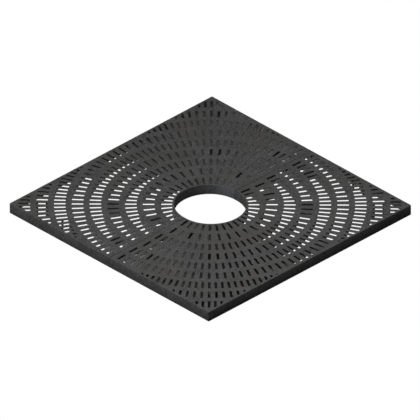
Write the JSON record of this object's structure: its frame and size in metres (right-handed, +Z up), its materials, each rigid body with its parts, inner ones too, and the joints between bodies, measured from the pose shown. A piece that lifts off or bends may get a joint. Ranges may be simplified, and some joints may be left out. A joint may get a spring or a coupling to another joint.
{
  "type": "tree grate",
  "caption": "Square cast iron tree grate in two bolted halves, with rings of radial slots round an open trunk hole, set level with paving over a tree pit.",
  "frame": {"origin": "on the ground plane, under the middle of the trunk opening", "axes": "+Z up to the walked-on face, Y along the joint between the halves, X from the left half to the right half"},
  "size_m": [1.2, 1.2, 0.047],
  "materials": {
    "cast_iron": "cast grey iron with a thin dull black dip coat, slightly grainy",
    "zinc_steel": "zinc plated steel, dulled"
  },
  "bodies": {
    "root": {"left_half": "cast_iron", "right_half": "cast_iron", "joint_bolt_1": "zinc_steel", "joint_bolt_2": "zinc_steel", "joint_bolt_3": "zinc_steel", "joint_bolt_4": "zinc_steel", "joint_nut_1": "zinc_steel", "joint_nut_2": "zinc_steel", "joint_nut_3": "zinc_steel", "joint_nut_4": "zinc_steel", "head_washer_1": "zinc_steel", "head_washer_2": "zinc_steel", "head_washer_3": "zinc_steel", "head_washer_4": "zinc_steel", "nut_washer_1": "zinc_steel", "nut_washer_2": "zinc_steel", "nut_washer_3": "zinc_steel", "nut_washer_4": "zinc_steel"}
  },
  "joints": []
}
